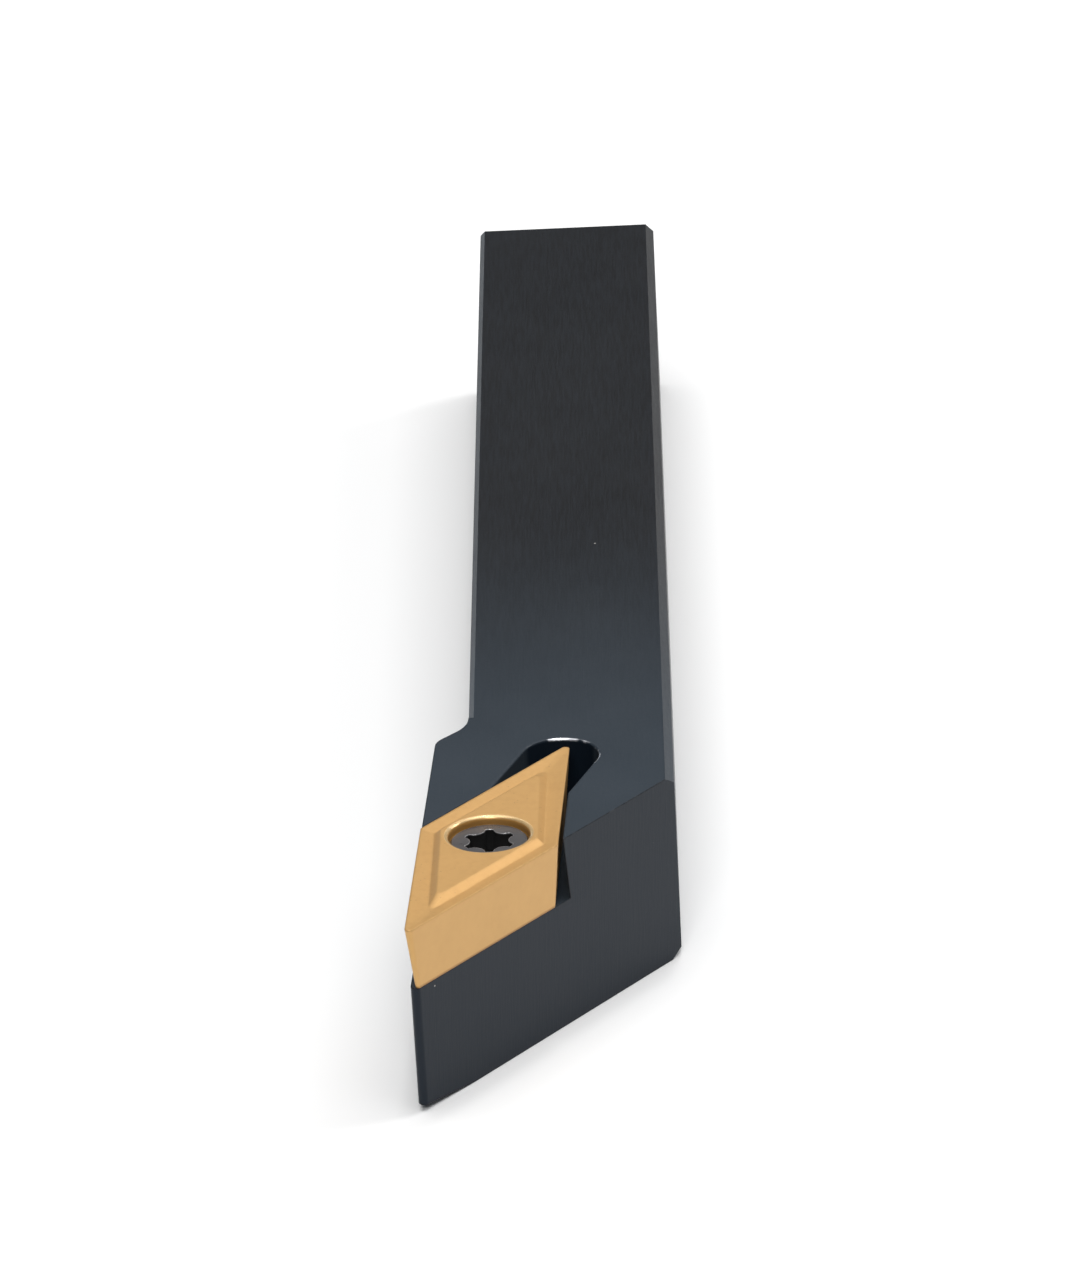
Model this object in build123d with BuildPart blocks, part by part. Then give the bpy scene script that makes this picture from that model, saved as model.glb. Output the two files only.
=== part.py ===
from build123d import *
from math import cos, isclose, radians, sin, tan
import os

# Left-hand external turning tool holder with a 35 degree rhombic insert, held by one screw.
# Millimetres. +Y runs back along the shank, +X is the reference side, +Z is up.
# The origin is on the shank's underside, half way along the tool.

# Square bar
shank_width = 9.525
shank_height = 9.525
overall_length = 88.9
reference_edge_chamfer = 0.42
head_edge_chamfer = 0.25
end_chamfer = 0.2

# Head: lengths run from the insert's sharp corner, angles from the shank's axis, and the overhang
# from the shank's side
head_overhang = 2.635
lead_angle = 3.0
shoulder_distance = 22.2
shoulder_angle = 42.0
shoulder_inner_radius = 2.2
shoulder_outer_radius = 1.2
shoulder_run_on = 0.1
side_setback = 0.05
front_setback = 0.14
front_lean = 2.5
nose_edge_radius = 0.25
underside_rise_angle = 8.0

# Insert
nose_angle = 35.0
inscribed_circle = 6.35
insert_thickness = 3.18
flank_relief = 5.0
corner_radius = 0.2
foot_corner_radius = 0.12
edge_hone = 0.04
front_land_width = 0.72
side_land_at_sharp_corner = 0.9
side_land_at_blunt_corner = 0.64
land_drop = 0.12
plateau_step_run = 0.32
plateau_rise = 0.15
insert_bore = 2.85
bore_edge_chamfer = 0.1
well_mouth_radius = 0.2

# Screw
thread_diameter = 2.5
screw_length = 6.2
thread_end_chamfer = 0.35
head_diameter = 3.56
head_rim = 0.15
head_recess = 0.2
head_cone_angle = 60.0
head_edge_chamfer_width = 0.08
socket_size = 2.4
socket_waist = 1.75
socket_lobes = 6
socket_flute_radius = 0.5
socket_corner_radius = 0.08
socket_depth = 1.1

# Clearances, each on one side
back_wall_gap = 0.03
right_wall_gap = 0.2
well_clearance = 0.07
cone_clearance = 0.03
thread_clearance = 0.05

# Pocket
right_wall_lean = 3.0
relief_slot_radius = 1.8
relief_slot_setback = 1.35
relief_slot_length = 4.5
relief_slot_depth = 0.25
relief_slot_rim_radius = 0.12
tapped_hole_chamfer = 0.25

# How far a cutting shape reaches past the surface that it opens
past = 1.0

# How near an edge's radius has to be to the one that is looked for
rim_match = 0.01

os.makedirs("parts", exist_ok=True)


def heading(degrees_from_y):
    """Unit vector in plan, turned from +Y towards +X."""
    angle = radians(degrees_from_y)
    return Vector(sin(angle), cos(angle))


half_width = shank_width / 2
front_y = -overall_length / 2
seat_height = shank_height - insert_thickness

# The insert's plan is a rhombus. Its sharp corner is the tip, and one pair of edges runs each way.
tip = Vector(-half_width - head_overhang, front_y)
side_way = heading(lead_angle)
front_way = heading(lead_angle + nose_angle)
long_way = heading(lead_angle + nose_angle / 2)
insert_side = inscribed_circle / sin(radians(nose_angle))
left_corner = tip + side_way * insert_side
far_corner = left_corner + front_way * insert_side
insert_centre = (tip + far_corner) / 2


def rhombus(front_inset, sharp_inset, blunt_inset):
    """
    The insert's plan, alike both ways round, with its front and back edges moved inwards by
    front_inset and its side edges by sharp_inset at the sharp corners, blunt_inset at the others.
    """
    slant = sin(radians(nose_angle))
    along = side_way * ((inscribed_circle / 2 - front_inset) / slant)
    to_sharp = along + front_way * ((inscribed_circle / 2 - sharp_inset) / slant)
    to_blunt = along - front_way * ((inscribed_circle / 2 - blunt_inset) / slant)
    return [
        insert_centre - to_sharp,
        insert_centre + to_blunt,
        insert_centre + to_sharp,
        insert_centre - to_blunt,
    ]


def even_rhombus(inset):
    """The insert's plan with every edge moved inwards by inset."""
    return rhombus(inset, inset, inset)


def pocket_outline(back_gap, right_gap):
    """The pocket's plan: two walls that meet behind the far corner, open to the side and front."""
    slant = sin(radians(nose_angle))
    corner = far_corner + side_way * (back_gap / slant) + front_way * (right_gap / slant)
    reach = insert_side + shank_width
    back_end = corner - front_way * reach
    right_end = corner - side_way * reach
    return [corner, back_end, back_end - side_way * reach, right_end]


def level(height):
    """A plan plane on the insert's axis."""
    return Plane(origin=(insert_centre.X, insert_centre.Y, height))


def slot_gap(spot):
    """How far a point lies in plan from the line between the slot's two end centres."""
    offset = Vector(spot.X, spot.Y) - slot_middle
    run = max(-relief_slot_length / 2, min(relief_slot_length / 2, offset.dot(long_way)))
    return (offset - long_way * run).length


# ---------------------------------------------------------------- holder body
side_out = Vector(-side_way.Y, side_way.X)
front_out = Vector(front_way.Y, -front_way.X)
side_start = tip - side_out * side_setback
front_start = tip - front_out * front_setback
front_tilt = radians(front_lean)
front_normal = front_out * cos(front_tilt) - Vector(0, 0, sin(front_tilt))
underside_tilt = radians(underside_rise_angle)
underside_normal = Vector(-sin(underside_tilt), 0, -cos(underside_tilt))

# The shoulder slopes from the shank's side to the head's side, with a round at each end
shoulder_corner = Vector(-half_width, front_y + shoulder_distance)
shoulder_way = heading(180 + shoulder_angle)
shoulder_depth = (side_start - shoulder_corner).dot(side_out)
flank_corner = shoulder_corner + shoulder_way * (shoulder_depth / shoulder_way.dot(side_out))
inner_round_run = shoulder_inner_radius * tan(radians(shoulder_angle / 2))
head_back_y = shoulder_corner.Y + inner_round_run + shoulder_run_on
flank_end = side_start - side_way * past

# The relief slot runs forward from behind the insert's far corner
slot_back = far_corner - long_way * relief_slot_setback
slot_middle = slot_back - long_way * (relief_slot_length / 2)
slot_turn = 90 - lead_angle - nose_angle / 2

bar_end = Plane(origin=(0, -front_y, 0), x_dir=(1, 0, 0), z_dir=(0, -1, 0))
front_plane = Plane(origin=(front_start.X, front_start.Y, shank_height), z_dir=front_normal)
underside_plane = Plane(origin=(-half_width, 0, 0), z_dir=underside_normal)

with BuildPart() as holder_body:
    # the bar, with its long edges broken
    with BuildSketch(bar_end):
        with Locations((0, shank_height / 2)):
            Rectangle(shank_width, shank_height)
        chamfer(vertices().group_by(Axis.X)[-1], length=reference_edge_chamfer)
        chamfer(vertices().group_by(Axis.X)[0], length=head_edge_chamfer)
    extrude(amount=overall_length)

    # the head's overhang, as wide as the slope and flank need
    with BuildSketch(Plane.XY):
        with BuildLine():
            Polyline(
                (0, head_back_y),
                (-half_width, head_back_y),
                shoulder_corner,
                flank_corner,
                flank_end,
                (0, flank_end.Y),
                close=True,
            )
        make_face()
        fillet(vertices().sort_by_distance(shoulder_corner)[0], shoulder_inner_radius)
        fillet(vertices().sort_by_distance(flank_corner)[0], shoulder_outer_radius)
    extrude(amount=shank_height)

    # the front face, and the underside of the overhang
    split(bisect_by=front_plane, keep=Keep.BOTTOM)
    split(bisect_by=underside_plane, keep=Keep.BOTTOM)
    nose_edge = edges().filter_by(GeomType.LINE).sort_by_distance((tip.X, tip.Y, seat_height / 2))[0]
    fillet(nose_edge, nose_edge_radius)
    chamfer(faces().sort_by(Axis.Y)[-1].edges(), length=end_chamfer)

    # the pocket: the back wall follows the insert's flank, the right wall leans away from it
    back_wall_shift = insert_thickness * tan(radians(flank_relief))
    right_wall_shift = insert_thickness * tan(radians(right_wall_lean))
    rise = (insert_thickness + past) / insert_thickness
    with BuildSketch(Plane.XY.offset(seat_height)):
        Polygon(*pocket_outline(back_wall_gap - back_wall_shift, right_wall_gap + right_wall_shift))
    with BuildSketch(Plane.XY.offset(shank_height + past)):
        Polygon(
            *pocket_outline(
                back_wall_gap - back_wall_shift * (1 - rise),
                right_wall_gap + right_wall_shift * (1 - rise),
            )
        )
    loft(ruled=True, mode=Mode.SUBTRACT)

    # the relief slot behind the insert's far corner, with a broken rim
    with BuildSketch(Plane.XY.offset(seat_height - relief_slot_depth)):
        with Locations(slot_middle):
            SlotCenterToCenter(relief_slot_length, 2 * relief_slot_radius, rotation=slot_turn)
    extrude(amount=insert_thickness + relief_slot_depth + past, mode=Mode.SUBTRACT)
    top_edges = edges().group_by(Axis.Z)[-1]
    slot_rim = top_edges.filter_by(
        lambda edge: isclose(slot_gap(edge @ 0.5), relief_slot_radius, abs_tol=rim_match)
    )
    fillet(slot_rim, relief_slot_rim_radius)

    # the tapped hole, down through the seat on the insert's axis
    with Locations(level(seat_height)):
        Hole(thread_diameter / 2 + thread_clearance)
    tapped_hole = faces().filter_by(GeomType.CYLINDER).sort_by_distance(level(seat_height / 2).origin)[0]
    chamfer(tapped_hole.edges().filter_by(GeomType.CIRCLE), length=tapped_hole_chamfer)

# ---------------------------------------------------------------- insert
screw_top = shank_height - head_recess
rim_foot = screw_top - head_rim
cone_slope = tan(radians(head_cone_angle / 2))
well_radius = head_diameter / 2 + well_clearance
bore_radius = insert_bore / 2
cone_top = rim_foot + (well_clearance - cone_clearance) / cone_slope
cone_foot = cone_top - (well_radius - bore_radius) / cone_slope
groove_height = shank_height - land_drop
plateau_height = shank_height + plateau_rise
groove_outline = rhombus(front_land_width, side_land_at_sharp_corner, side_land_at_blunt_corner)
plateau_outline = rhombus(
    front_land_width + plateau_step_run,
    side_land_at_sharp_corner + plateau_step_run,
    side_land_at_blunt_corner + plateau_step_run,
)

with BuildPart() as cutting_insert:
    # the rhombic body, narrower at the foot by the flanks' relief
    with BuildSketch(Plane.XY.offset(seat_height)):
        Polygon(*even_rhombus(back_wall_shift))
        fillet(vertices(), foot_corner_radius)
    with BuildSketch(Plane.XY.offset(shank_height)):
        Polygon(*even_rhombus(0))
        fillet(vertices(), corner_radius)
    loft(ruled=True)

    # the chip groove: a land that falls inwards from the edge, then a step up to the plateau
    with BuildSketch(Plane.XY.offset(groove_height)):
        Polygon(*groove_outline)
        fillet(vertices(), corner_radius)
    with BuildSketch(Plane.XY.offset(shank_height)):
        Polygon(*even_rhombus(edge_hone))
        fillet(vertices(), corner_radius)
    loft(ruled=True, mode=Mode.SUBTRACT)
    with BuildSketch(Plane.XY.offset(groove_height)):
        Polygon(*groove_outline)
        fillet(vertices(), corner_radius)
    with BuildSketch(Plane.XY.offset(plateau_height)):
        Polygon(*plateau_outline)
        fillet(vertices(), corner_radius)
    loft(ruled=True)

    # the stepped hole: a well for the screw's head, a conical seat and the bore
    with BuildSketch(Plane(level(0).origin, x_dir=(1, 0, 0), z_dir=(0, -1, 0))):
        with BuildLine():
            Polyline(
                (0, shank_height + past),
                (well_radius, shank_height + past),
                (well_radius, cone_top),
                (bore_radius, cone_foot),
                (bore_radius, seat_height - past),
                (0, seat_height - past),
                close=True,
            )
        make_face()
    revolve(axis=Axis(level(0).origin, (0, 0, 1)), mode=Mode.SUBTRACT)
    rims = edges().filter_by(GeomType.CIRCLE)
    well_rims = rims.filter_by(lambda rim: isclose(rim.radius, well_radius, abs_tol=rim_match))
    fillet(well_rims.sort_by(Axis.Z)[-1], well_mouth_radius)
    rims = edges().filter_by(GeomType.CIRCLE)
    bore_rims = rims.filter_by(lambda rim: isclose(rim.radius, bore_radius, abs_tol=rim_match))
    chamfer(bore_rims.sort_by(Axis.Z)[0], length=bore_edge_chamfer)

# ---------------------------------------------------------------- insert screw
head_radius = head_diameter / 2
thread_radius = thread_diameter / 2
head_cone_foot = rim_foot - (head_radius - thread_radius) / cone_slope
screw_foot = screw_top - screw_length

with BuildPart() as insert_screw:
    with BuildSketch(Plane(level(0).origin, x_dir=(1, 0, 0), z_dir=(0, -1, 0))):
        with BuildLine():
            Polyline(
                (0, screw_top),
                (head_radius - head_edge_chamfer_width, screw_top),
                (head_radius, screw_top - head_edge_chamfer_width),
                (head_radius, rim_foot),
                (thread_radius, head_cone_foot),
                (thread_radius, screw_foot + thread_end_chamfer),
                (thread_radius - thread_end_chamfer, screw_foot),
                (0, screw_foot),
                close=True,
            )
        make_face()
    revolve(axis=Axis(level(0).origin, (0, 0, 1)))

    # the six-lobe socket: a round hole with a rounded rib left between each two lobes
    with BuildSketch(level(screw_top)):
        Circle(socket_size / 2)
        with PolarLocations(socket_waist / 2 + socket_flute_radius, socket_lobes):
            Circle(socket_flute_radius, mode=Mode.SUBTRACT)
        fillet(vertices(), socket_corner_radius)
    extrude(amount=-socket_depth, mode=Mode.SUBTRACT)

for name, piece in (
    ("holder_body", holder_body),
    ("cutting_insert", cutting_insert),
    ("insert_screw", insert_screw),
):
    piece.part.label = name
    export_step(piece.part, f"parts/{name}.step")
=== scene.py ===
# %% [markdown]
# # A turning tool holder, dressed for a close-up
#
# The solids of this left-hand lathe tool come ready made: a square steel holder, a gold coated
# insert and the small screw that clamps it. This script gives each of them its finish, cuts the
# real thread on the screw, and sets up the floor, the light and the camera. Everything is in
# metres. +Y runs back along the shank, +X is the reference side and +Z is up.

# %% Load the solids
from math import cos, hypot, pi, radians, sin, tan

import bmesh
import bpy
from mathutils import Matrix, Vector


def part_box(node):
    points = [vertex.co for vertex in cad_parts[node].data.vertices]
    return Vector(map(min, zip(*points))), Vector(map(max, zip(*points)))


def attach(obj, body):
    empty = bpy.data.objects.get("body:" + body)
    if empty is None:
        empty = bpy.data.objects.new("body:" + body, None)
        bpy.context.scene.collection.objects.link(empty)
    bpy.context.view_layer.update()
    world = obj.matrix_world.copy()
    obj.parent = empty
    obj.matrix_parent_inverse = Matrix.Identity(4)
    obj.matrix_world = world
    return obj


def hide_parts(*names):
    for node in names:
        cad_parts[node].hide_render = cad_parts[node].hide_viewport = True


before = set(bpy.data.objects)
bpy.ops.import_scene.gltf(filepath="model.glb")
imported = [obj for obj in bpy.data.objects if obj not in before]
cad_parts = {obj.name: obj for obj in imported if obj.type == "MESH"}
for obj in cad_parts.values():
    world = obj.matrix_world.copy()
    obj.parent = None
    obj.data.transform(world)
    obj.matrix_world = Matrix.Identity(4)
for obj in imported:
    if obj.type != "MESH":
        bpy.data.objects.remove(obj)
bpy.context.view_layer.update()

MM = 0.001

# %% [markdown]
# ## Where things are
#
# The finishes follow the tool's own edges, so a few places are worked out once. The boxes of the
# three solids give the height of the top and of the seat, and the axis of the screw. The end of
# the relief slot and the radii below are those of the solids.

# %% Sizes read from the solids
SCREW_LOW, SCREW_HIGH = (Vector(corner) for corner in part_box("insert_screw"))
TOP = Vector(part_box("holder_body")[1]).z
SEAT = Vector(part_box("cutting_insert")[0]).z
SCREW_AXIS = (SCREW_LOW + SCREW_HIGH) / 2
SLOT_END = Vector((-0.475, -25.937, 0.0)) * MM
SLOT_RADIUS = 1.8 * MM
WELL_RADIUS = 1.85 * MM
TAPPED_RADIUS = 1.3 * MM
SOCKET_RADIUS = 1.2 * MM
PITCH = 0.45 * MM
print("screw axis at", [round(value / MM, 3) for value in SCREW_AXIS[:2]], "mm")

# %% [markdown]
# ## Arithmetic on sockets
#
# A procedural finish is mostly arithmetic: add two noises, keep what lies above a threshold, fade
# one colour into another. Written as bare nodes and links that takes pages. This small class
# wraps a socket so that a finish reads like a formula: `a * b + 0.2` builds two Math nodes.


# %% The socket wrapper
class Wire:
    """One output socket of a material's nodes, or a plain number, with operators on it."""

    def __init__(self, tree, source):
        self.tree, self.source = tree, source

    def node(self, kind, inputs=(), out=0, **settings):
        """Add any node, set it up, feed its inputs by number or name, and wrap one output."""
        made = self.tree.nodes.new(kind)
        for name, value in settings.items():
            setattr(made, name, value)
        for key, value in dict(inputs).items():
            if isinstance(value, Wire):
                self.tree.links.new(value.source, made.inputs[key])
            else:
                made.inputs[key].default_value = value
        return Wire(self.tree, made.outputs[out])

    def math(self, operation, *others):
        inputs = {0: self, **{place: other for place, other in enumerate(others, 1)}}
        return self.node("ShaderNodeMath", inputs, operation=operation)

    def __add__(self, other):
        return self.math("ADD", other)

    def __sub__(self, other):
        return self.math("SUBTRACT", other)

    def __mul__(self, other):
        return self.math("MULTIPLY", other)

    def __truediv__(self, other):
        return self.math("DIVIDE", other)

    def __neg__(self):
        return self.math("MULTIPLY", -1.0)

    def __rsub__(self, other):
        return (-self) + other

    __radd__ = __add__

    def size(self):
        return self.math("ABSOLUTE")

    def ramp(self, low, high):
        """0 below low, 1 above high, smooth between. With low above high it falls instead."""
        rising = low < high
        ends = (low, high) if rising else (high, low)
        sizes = (0.0, 1.0) if rising else (1.0, 0.0)
        inputs = {0: self, 1: ends[0], 2: ends[1], 3: sizes[0], 4: sizes[1]}
        return self.node("ShaderNodeMapRange", inputs, interpolation_type="SMOOTHSTEP")

    def fade(self, start, end):
        """A colour between two, which may be wires or plain RGB, this wire being the share."""
        plain = [end if isinstance(end, Wire) else (*end, 1.0)]
        plain.insert(0, start if isinstance(start, Wire) else (*start, 1.0))
        inputs = {0: self, 6: plain[0], 7: plain[1]}
        return self.node("ShaderNodeMix", inputs, out=2, data_type="RGBA")

    def vector(self, operation, other=None, out=0):
        inputs = {0: self} if other is None else {0: self, 1: other}
        return self.node("ShaderNodeVectorMath", inputs, out=out, operation=operation)

    def noise(self, scale, detail=3.0, rough=0.5, stretch=(1.0, 1.0, 1.0)):
        """Cloudy noise from 0 to 1 over this place wire; scale counts blobs to the metre."""
        place = self.vector("MULTIPLY", stretch)
        inputs = {"Vector": place, "Scale": scale, "Detail": detail, "Roughness": rough}
        return self.node("ShaderNodeTexNoise", inputs)

    def specks(self, scale):
        """Distance to the nearest of scattered points, for dots and pits."""
        return self.node("ShaderNodeTexVoronoi", {"Vector": self, "Scale": scale})


# %% [markdown]
# ## A finish and its wear
#
# Every finish here has one shader. A worn steel edge is where paint, oxide or coating has rubbed
# thin, so the finish has to know where the edges are. The Bevel node answers that: it gives the
# normal that a rounded edge would have, and where that differs from the true normal, an edge is
# near. This needs no unwrapping and survives being baked into an image.

# %% Starting a material
BEVEL_SAMPLES = 6
SHARP_EDGE = 0.25  # how far the two normals part on a sharp edge


def new_finish(name, metallic):
    """A material with a Principled shader, and wires for place and facing."""
    material = bpy.data.materials.new(name)
    material.use_nodes = True
    tree = material.node_tree
    shader = tree.nodes["Principled BSDF"]
    shader.inputs["Metallic"].default_value = metallic
    start = Wire(tree, None)
    place = start.node("ShaderNodeTexCoord", out="Object")
    facing = start.node("ShaderNodeNewGeometry", out="Normal")
    return material, shader, place, facing


def edge_wear(facing, width):
    """From 0 on a flat to about 1 on a sharp edge, spread over width metres."""
    rounded = facing.node("ShaderNodeBevel", {"Radius": width}, samples=BEVEL_SAMPLES)
    return (1.0 - rounded.vector("DOT_PRODUCT", facing, out="Value")).ramp(0.0, SHARP_EDGE)


def finish_with(shader, colour, roughness, height, depth, soften, start):
    """Join colour, roughness and a height to the shader, with edges softened over some metres."""
    tree = start.tree
    rounded = start.node("ShaderNodeBevel", {"Radius": soften}, samples=BEVEL_SAMPLES)
    for wire, name in ((colour, "Base Color"), (roughness, "Roughness")):
        tree.links.new(wire.source, shader.inputs[name])
    bump = start.node("ShaderNodeBump", {"Height": height, "Distance": depth, "Normal": rounded})
    tree.links.new(bump.source, shader.inputs["Normal"])


# %% [markdown]
# ## Blacked steel
#
# The holder is ground square and then blacked: a thin dark oxide that takes a faint blue. Under
# it the grinding still shows as fine straight scratches. They run along the shank on its long
# faces, and upright on the front face, where the wheel crossed it. The oxide is thinnest on the
# edges, so they look lighter, though round the head the edges carry painted shade instead. The
# front face carries painted shade too, and the colour fades darker towards the back of the shank
# as painted shade. A few pale specks are painted glints. The rim of the relief slot is rubbed
# bright, and the wall of the tapped hole gets its thread as a height that climbs one pitch a turn.

# %% The holder's finish
steel, steel_shader, place, facing = new_finish("blacked_steel", metallic=0.0)
across = place.node("ShaderNodeSeparateXYZ", {0: place}, out=0)
along = place.node("ShaderNodeSeparateXYZ", {0: place}, out=1)
upward = place.node("ShaderNodeSeparateXYZ", {0: place}, out=2)
face_y = facing.node("ShaderNodeSeparateXYZ", {0: facing}, out=1)
on_front = (-face_y).ramp(0.4, 0.6)

long_grain = place.noise(1.0, 4.0, 0.6, stretch=(12000.0, 500.0, 12000.0))
upright_grain = place.noise(1.0, 4.0, 0.6, stretch=(8000.0, 8000.0, 500.0))
grain = (on_front * upright_grain + (1.0 - on_front) * long_grain).ramp(0.3, 0.7)
clouds = place.noise(160.0, 4.0, 0.55)
fine = place.noise(5200.0, 3.0, 0.6)

edge = edge_wear(facing, 0.15 * MM)
wear = edge * place.noise(1400.0, 3.0).ramp(0.5, 0.8)
# painted shade: the edges round the head are darkened
painted_edge_shade = edge * along.ramp(-21.0 * MM, -23.0 * MM)
slot_spread = place.vector("SUBTRACT", SLOT_END).vector("MULTIPLY", (1.0, 1.0, 0.0))
slot_spread = slot_spread.vector("LENGTH", out="Value")
slot_out = slot_spread - SLOT_RADIUS
slot_rim = slot_out.ramp(-0.01 * MM, 0.02 * MM) * slot_out.ramp(0.15 * MM, 0.11 * MM)
slot_rim = slot_rim * upward.ramp(TOP - 0.14 * MM, TOP - 0.11 * MM)
slot_rim = slot_rim * upward.ramp(TOP, TOP - 0.01 * MM) * place.noise(900.0, 2.0).ramp(0.46, 0.58)
# painted glints: scattered pale dots on the steel
painted_glint_specks = place.specks(420.0).ramp(0.026, 0.012) * place.noise(260.0, 1.0).ramp(0.5, 0.56)
# painted shade: the oxide fades darker towards the back of the shank
near_head = along.ramp(5.0 * MM, -30.0 * MM)
tail_painted_shade = clouds.fade((0.006, 0.0065, 0.008), (0.011, 0.012, 0.014))
front = clouds.fade((0.022, 0.032, 0.043), (0.034, 0.045, 0.058))
oxide_and_painted_shade = near_head.fade(tail_painted_shade, front)
brushed_and_shaded = (grain * (on_front * 0.25 + 0.2)).fade(oxide_and_painted_shade, (0.034, 0.043, 0.056))
# painted shade: the front face is darkened
brushed_and_shaded = (on_front * 0.8).fade(brushed_and_shaded, (0.002, 0.006, 0.013))
brushed_and_shaded = (painted_edge_shade * 0.95).fade(brushed_and_shaded, (0.003, 0.004, 0.007))
worn = (wear * 0.35).fade(brushed_and_shaded, (0.16, 0.165, 0.18))
worn = (slot_rim * 0.9).fade(worn, (0.75, 0.76, 0.80))
steel_colour = (painted_glint_specks * 0.8).fade(worn, (0.55, 0.53, 0.50))
steel_rough = 0.25 + clouds * 0.12 + fine * 0.12 - slot_rim * 0.1
steel.node_tree.links.new((slot_rim * 0.9).source, steel_shader.inputs["Metallic"])

# the tapped hole's thread: a groove that climbs one pitch a turn, as a height on the bore's wall
hole_x = across - SCREW_AXIS.x
hole_y = along - SCREW_AXIS.y
hole_spread = (hole_x * hole_x + hole_y * hole_y).math("SQRT")
tapped = hole_spread.ramp(TAPPED_RADIUS + 0.04 * MM, TAPPED_RADIUS + 0.02 * MM)
tapped = tapped * upward.ramp(SEAT, SEAT - 0.2 * MM)
climb = (upward / PITCH - hole_y.math("ARCTAN2", hole_x) / (2 * pi)).math("FRACT")
groove = (climb - 0.5).size() * 2.0 * tapped
steel_height = grain * 0.6 + fine * 0.4 + groove * 45.0
finish_with(steel_shader, steel_colour, steel_rough, steel_height, 0.0035 * MM, 0.06 * MM, place)
steel_shader.inputs["Specular IOR Level"].default_value = 0.2

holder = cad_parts["holder_body"]
print("holder finish:", steel.name)

# %% [markdown]
# ## Coated carbide
#
# The insert is pressed and sintered carbide under a gold nitride coating. The top keeps a slight
# grain from the press and looks matter than the ground flanks. The coating is a little brighter
# on the worn cutting edges. The lip of the well has a painted highlight and the wall of the well
# painted shade. The coating is darker where the foot meets the seat.

# %% The insert's finish
gold, gold_shader, place, facing = new_finish("gold_coating", metallic=0.45)
height = place.node("ShaderNodeSeparateXYZ", {0: place}, out=2)
face_up = place.node("ShaderNodeSeparateXYZ", {0: facing}, out=2)
pressed = face_up.ramp(0.5, 0.8)
clouds = place.noise(420.0, 4.0, 0.6)
fine = place.noise(9000.0, 3.0, 0.65)
pits = place.specks(3600.0).ramp(0.16, 0.06) * place.noise(900.0, 2.0).ramp(0.5, 0.62)
wear = edge_wear(facing, 0.07 * MM)
foot = height.ramp(SEAT + 0.16 * MM, SEAT + 0.02 * MM)

coat = clouds.fade((0.56, 0.325, 0.110), (0.66, 0.395, 0.148))
mottling = place.noise(2600.0, 3.0, 0.6).ramp(0.4, 0.75) * (pressed * 0.22 + 0.06)
coat = mottling.fade(coat, (0.40, 0.20, 0.055))
top_coat = (pressed * 0.55).fade(coat, (0.62, 0.365, 0.135))
middle = place.vector("SUBTRACT", (SCREW_AXIS.x, SCREW_AXIS.y, 0.0))
spread = middle.vector("MULTIPLY", (1.0, 1.0, 0.0)).vector("LENGTH", out="Value")
well_out = spread - WELL_RADIUS
well = well_out.ramp(0.05 * MM, 0.01 * MM)
lip = well_out.ramp(0.01 * MM, 0.05 * MM) * well_out.ramp(0.21 * MM, 0.15 * MM)
# painted shade: the wall of the well is darkened
top_coat = (well * 0.6).fade(top_coat, (0.42, 0.19, 0.03))
# painted highlight on the lip of the well; the cutting edges get real wear
bright = (wear * 0.12 + lip * 0.5).fade(top_coat, (0.95, 0.72, 0.40))
dusky = (foot * 0.65).fade(bright, (0.30, 0.13, 0.03))
gold_colour = (pits * pressed * 0.5).fade(dusky, (0.22, 0.12, 0.05))
gold_rough = 0.34 + clouds * 0.1 + pressed * 0.08 + fine * 0.08 - lip * 0.3
gold_height = fine * (0.5 + pressed) - pits
finish_with(gold_shader, gold_colour, gold_rough, gold_height, 0.004 * MM, 0.16 * MM, place)

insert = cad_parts["cutting_insert"]
print("insert finish:", gold.name)

# %% [markdown]
# ## The screw's steel
# The screw is hardened and left with a dark oil finish. Its head is turned, which leaves rings
# around the axis. Its edges are lighter, partly rubbed by the driver and partly a painted glint,
# and the inside of the socket is painted black as painted shade. Its head is turned, which leaves rings
# around the axis, and the driver has rubbed the socket's rim a little brighter.

# %% The screw's finish
dark, dark_shader, place, facing = new_finish("dark_screw_steel", metallic=0.6)
middle = place.vector("SUBTRACT", (SCREW_AXIS.x, SCREW_AXIS.y, 0.0))
spread = middle.vector("MULTIPLY", (1.0, 1.0, 0.0)).vector("LENGTH", out="Value")
rings = (spread * 42000.0).math("SINE") * 0.5 + 0.5
clouds = place.noise(1500.0, 3.0)
wear = edge_wear(facing, 0.06 * MM)
height = place.node("ShaderNodeSeparateXYZ", {0: place}, out=2)
below_top = SCREW_HIGH.z - height
socket = spread.ramp(SOCKET_RADIUS + 0.04 * MM, SOCKET_RADIUS) * below_top.ramp(0.03 * MM, 0.09 * MM)
turned = clouds.fade((0.10, 0.098, 0.102), (0.16, 0.158, 0.165))
# the edges are lighter: partly rubbed wear, partly painted glints
turned = (wear * 0.9).fade(turned, (0.8, 0.8, 0.82))
# painted shade: the inside of the socket is painted black
screw_colour = (socket * 0.96).fade(turned, (0.004, 0.004, 0.004))
screw_rough = 0.22 + clouds * 0.14 + socket * 0.6
screw_height = rings * 0.3 + clouds * 0.4
finish_with(dark_shader, screw_colour, screw_rough, screw_height, 0.004 * MM, 0.04 * MM, place)
print("screw finish:", dark.name)

# %% [markdown]
# ## Dressing the solids
#
# The holder and the insert have the right form already, so they only change their materials.

# %% Give the holder and the insert their finishes
for solid, finish in ((holder, steel), (insert, gold)):
    solid.data.materials.clear()
    solid.data.materials.append(finish)

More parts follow.
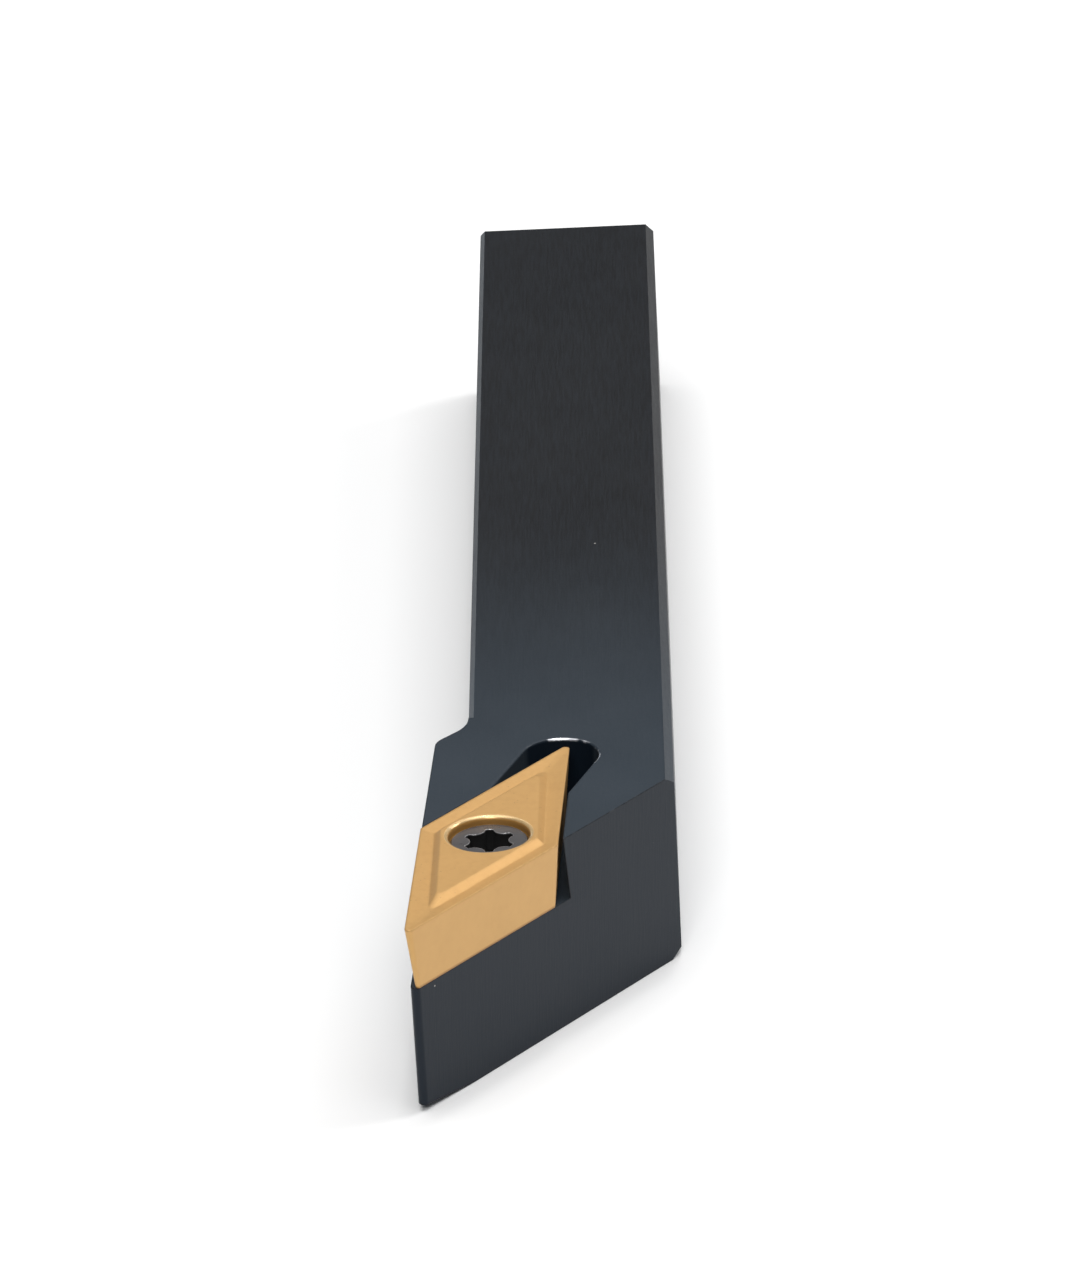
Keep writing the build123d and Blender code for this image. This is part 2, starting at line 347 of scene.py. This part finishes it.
# %% [markdown]
# ## The screw and its thread
#
# The solid screw has a plain shank where the real one has a thread of 0.45 mm pitch. The head is
# good, so it is cut from a copy of the solid at the foot of its cone. The shank below is made by
# Geometry Nodes: a core at the thread's root, and a ridge that is a triangle swept along a
# helix. A helix by rule stays exact, and its sizes stay open as named inputs.

# %% Sizes of the thread
OUTER = 1.25 * MM
ROOT = 1.02 * MM
HEAD_RADIUS = 1.78 * MM
HEAD_RIM = 0.15 * MM
CONE_SLOPE = tan(radians(30))
OVERLAP = 0.02 * MM
CONE_FOOT = SCREW_HIGH.z - HEAD_RIM - (HEAD_RADIUS - OUTER) / CONE_SLOPE
THREAD_TOP = CONE_FOOT + OVERLAP
THREAD_FOOT = SCREW_LOW.z
print("thread from", round(THREAD_FOOT / MM, 3), "to", round(THREAD_TOP / MM, 3), "mm")


# %% The head, cut from the solid
def head_of_screw(name):
    """A copy of the solid screw, without its shank."""
    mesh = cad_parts["insert_screw"].data.copy()
    mesh.name = name
    shape = bmesh.new()
    shape.from_mesh(mesh)
    bmesh.ops.remove_doubles(shape, verts=shape.verts, dist=1e-7)
    everything = shape.verts[:] + shape.edges[:] + shape.faces[:]
    cut = {"plane_co": (0, 0, CONE_FOOT), "plane_no": (0, 0, -1), "clear_outer": True}
    bmesh.ops.bisect_plane(shape, geom=everything, **cut)
    rim = [edge for edge in shape.edges if edge.is_boundary]
    bmesh.ops.contextual_create(shape, geom=rim)
    shape.to_mesh(mesh)
    shape.free()
    piece = bpy.data.objects.new(name, mesh)
    bpy.context.scene.collection.objects.link(piece)
    return piece


head = head_of_screw("screw_head")
print("head faces:", len(head.data.polygons))


# %% The thread, from Geometry Nodes
def thread_tree(finish):
    """A tree that makes a threaded shank, foot at the origin, with its sizes as inputs."""
    tree = bpy.data.node_groups.new("screw_thread", "GeometryNodeTree")
    tree.interface.new_socket("Geometry", in_out="OUTPUT", socket_type="NodeSocketGeometry")
    for label in ("Length", "Pitch", "Root Radius", "Outer Radius"):
        tree.interface.new_socket(label, in_out="INPUT", socket_type="NodeSocketFloat")
    given = tree.nodes.new("NodeGroupInput")
    result = tree.nodes.new("NodeGroupOutput")

    def add(kind, links, **settings):
        made = tree.nodes.new(kind)
        for key, value in settings.items():
            setattr(made, key, value)
        for key, value in links.items():
            if isinstance(value, bpy.types.NodeSocket):
                tree.links.new(value, made.inputs[key])
            else:
                made.inputs[key].default_value = value
        return made

    def reckon(operation, first, second):
        return add("ShaderNodeMath", {0: first, 1: second}, operation=operation).outputs[0]

    length, pitch = given.outputs["Length"], given.outputs["Pitch"]
    root, outer = given.outputs["Root Radius"], given.outputs["Outer Radius"]
    ridge = reckon("SUBTRACT", outer, root)

    core = add("GeometryNodeMeshCylinder", {"Vertices": 48, "Radius": root, "Depth": length})
    lifted = add("ShaderNodeCombineXYZ", {"Z": reckon("MULTIPLY", length, 0.5)}).outputs[0]
    core_up = add("GeometryNodeTransform", {"Geometry": core.outputs["Mesh"], "Translation": lifted})

    run = reckon("SUBTRACT", length, reckon("MULTIPLY", pitch, 1.1))
    turns = reckon("DIVIDE", run, pitch)
    helix = add(
        "GeometryNodeCurveSpiral",
        {"Resolution": 40, "Rotations": turns, "Start Radius": root, "End Radius": root, "Height": run},
    )
    helix_up = add(
        "GeometryNodeTransform",
        {
            "Geometry": helix.outputs["Curve"],
            "Translation": add("ShaderNodeCombineXYZ", {"Z": reckon("MULTIPLY", pitch, 0.5)}).outputs[0],
        },
    )
    upright = add("GeometryNodeSetCurveNormal", {"Curve": helix_up.outputs["Geometry"]}, mode="Z_UP")

    # the ridge's section, as shares of the pitch and of the ridge's height
    half = reckon("MULTIPLY", pitch, 0.45)
    minus_half = reckon("MULTIPLY", pitch, -0.45)
    crest = reckon("MULTIPLY", pitch, 0.07)
    minus_crest = reckon("MULTIPLY", pitch, -0.07)
    sunk = reckon("MULTIPLY", ridge, 0.3)
    out = reckon("MULTIPLY", ridge, -1.0)
    profile = add(
        "GeometryNodeCurvePrimitiveQuadrilateral",
        {
            "Point 1": add("ShaderNodeCombineXYZ", {"X": sunk, "Y": minus_half}).outputs[0],
            "Point 2": add("ShaderNodeCombineXYZ", {"X": out, "Y": minus_crest}).outputs[0],
            "Point 3": add("ShaderNodeCombineXYZ", {"X": out, "Y": crest}).outputs[0],
            "Point 4": add("ShaderNodeCombineXYZ", {"X": sunk, "Y": half}).outputs[0],
        },
        mode="POINTS",
    )
    swept = add(
        "GeometryNodeCurveToMesh",
        {"Curve": upright.outputs["Curve"], "Profile Curve": profile.outputs["Curve"], "Fill Caps": True},
    )
    joined = add("GeometryNodeJoinGeometry", {})
    tree.links.new(core_up.outputs["Geometry"], joined.inputs["Geometry"])
    tree.links.new(swept.outputs["Mesh"], joined.inputs["Geometry"])
    real = add("GeometryNodeRealizeInstances", {"Geometry": joined.outputs["Geometry"]})
    dressed = add("GeometryNodeSetMaterial", {"Geometry": real.outputs["Geometry"], "Material": finish})
    tree.links.new(dressed.outputs["Geometry"], result.inputs["Geometry"])
    return tree


def plain_mesh_from(tree, name, values):
    """Run a tree with the given input values and keep what it makes as a plain mesh."""
    carrier = bpy.data.objects.new(name, bpy.data.meshes.new(name))
    bpy.context.scene.collection.objects.link(carrier)
    modifier = carrier.modifiers.new("nodes", "NODES")
    modifier.node_group = tree
    for item in tree.interface.items_tree:
        if item.in_out == "INPUT":
            modifier[item.identifier] = values[item.name]
    graph = bpy.context.evaluated_depsgraph_get()
    made = bpy.data.meshes.new_from_object(carrier.evaluated_get(graph))
    carrier.modifiers.clear()
    carrier.data = made
    return carrier


thread = plain_mesh_from(
    thread_tree(dark),
    "screw_thread",
    {
        "Length": THREAD_TOP - THREAD_FOOT,
        "Pitch": PITCH,
        "Root Radius": ROOT,
        "Outer Radius": OUTER,
    },
)
thread.data.transform(Matrix.Translation((SCREW_AXIS.x, SCREW_AXIS.y, THREAD_FOOT)))
shape = bmesh.new()
shape.from_mesh(thread.data)
bmesh.ops.recalc_face_normals(shape, faces=shape.faces)
shape.to_mesh(thread.data)
shape.free()
reach = [hypot(v.co.x - SCREW_AXIS.x, v.co.y - SCREW_AXIS.y) for v in thread.data.vertices]
heights = [v.co.z for v in thread.data.vertices]
print("thread:", len(thread.data.polygons), "faces, reach", max(reach) / MM)
print("thread's heights:", min(heights) / MM, "to", max(heights) / MM)

# %% [markdown]
# ## Head and thread together
#
# Both pieces move with the screw's body and stand in for the plain solid.

# %% Put the screw together
head.data.materials.clear()
head.data.materials.append(dark)
for piece in (head, thread):
    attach(piece, "screw")
    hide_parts("insert_screw")

# %% [markdown]
# ## Floor and light
#
# A small dark tool is told apart from a pale floor mostly by what it reflects. A large soft light
# hangs above and a smaller one in front. Two stand high at the back and on the right, a little
# one gives the slot's rim its glint, and two faint ones stand low at the back. The room is dim and
# grey. The plain view transform keeps the floor white.


# %% The floor
def add_floor():
    """A wide pale sheet just under the tool."""
    mesh = bpy.data.meshes.new("floor")
    side = 3.0
    low = -0.00002
    corners = [(-side, -side, low), (side, -side, low), (side, side, low), (-side, side, low)]
    mesh.from_pydata(corners, [], [(0, 1, 2, 3)])
    sheet = bpy.data.objects.new("floor", mesh)
    bpy.context.scene.collection.objects.link(sheet)
    material = bpy.data.materials.new("pale_floor")
    material.use_nodes = True
    shader = material.node_tree.nodes["Principled BSDF"]
    shader.inputs["Base Color"].default_value = (0.93, 0.93, 0.93, 1)
    shader.inputs["Roughness"].default_value = 0.9
    shader.inputs["Specular IOR Level"].default_value = 0.1
    mesh.materials.append(material)


add_floor()


# %% The lights
def add_panel(name, at, towards, width, height, watts, tint=(1, 1, 1)):
    """A soft rectangular light that faces a point."""
    data = bpy.data.lights.new(name, "AREA")
    data.shape = "RECTANGLE"
    data.size, data.size_y = width, height
    data.energy = watts
    data.color = tint
    lamp = bpy.data.objects.new(name, data)
    aim = Vector(towards) - Vector(at)
    lamp.matrix_world = Matrix.Translation(at) @ aim.to_track_quat("-Z", "Y").to_matrix().to_4x4()
    bpy.context.scene.collection.objects.link(lamp)
    return lamp


add_panel("overhead", (0.0, -0.05, 0.9), (0, 0, 0), 1.0, 1.0, 7.0)
add_panel("front_key", (-0.05, -0.75, 0.6), (0, 0, 0), 0.3, 0.3, 3.0)
add_panel("high_back", (0.1, 0.78, 0.74), (0, 0, 0), 1.0, 0.25, 1.3)
add_panel("high_right", (0.74, 0.3, 0.62), (0, 0, 0), 0.35, 0.35, 2.8)
add_panel("glint", (0.06, 0.12, 0.95), (0, -0.03, 0), 0.09, 0.09, 1.0)
add_panel("back_left", (-0.55, 1.2, 0.12), (0, 0, 0), 0.5, 0.25, 0.35, (0.7, 0.85, 1.0))
add_panel("back_right", (0.55, 1.2, 0.12), (0, 0, 0), 0.4, 0.2, 0.05)

world = bpy.data.worlds.new("grey_room")
world.use_nodes = True
world.node_tree.nodes["Background"].inputs["Color"].default_value = (1, 1, 1, 1)
world.node_tree.nodes["Background"].inputs["Strength"].default_value = 0.1
bpy.context.scene.world = world
bpy.context.scene.view_settings.view_transform = "Standard"

# %% [markdown]
# ## The camera
#
# The view is a long lens from in front and above, a third of a metre away, turned a little about
# its own axis. The frame is taller than wide, so the 36 mm sensor lies along its height.

# %% The camera
FRAME_HEIGHT = 1280
SENSOR = 36.0
FOCAL_PIXELS = 7322.8
AZIMUTH, ELEVATION, ROLL = radians(1.2222), radians(23.479), radians(-2.966)
TARGET = Vector((-1.514, -2.127, 5.0)) * MM
DISTANCE = 362.696 * MM


def add_camera():
    """Aim the camera at the target from its azimuth, elevation and roll."""
    back = Vector((sin(AZIMUTH) * cos(ELEVATION), -cos(AZIMUTH) * cos(ELEVATION), sin(ELEVATION)))
    level = Vector((cos(AZIMUTH), sin(AZIMUTH), 0))
    upright = back.cross(level)
    right = cos(ROLL) * level + sin(ROLL) * upright
    up = -sin(ROLL) * level + cos(ROLL) * upright
    data = bpy.data.cameras.new("camera")
    data.sensor_width = SENSOR
    data.lens = FOCAL_PIXELS * SENSOR / FRAME_HEIGHT
    data.clip_start, data.clip_end = 0.01, 20.0
    camera = bpy.data.objects.new("camera", data)
    bpy.context.scene.collection.objects.link(camera)
    turn = Matrix((right, up, back)).transposed().to_4x4()
    camera.matrix_world = Matrix.Translation(TARGET + back * DISTANCE) @ turn
    bpy.context.scene.camera = camera
    return camera


camera = add_camera()
print("camera at", [round(value / MM, 2) for value in camera.location], "mm")
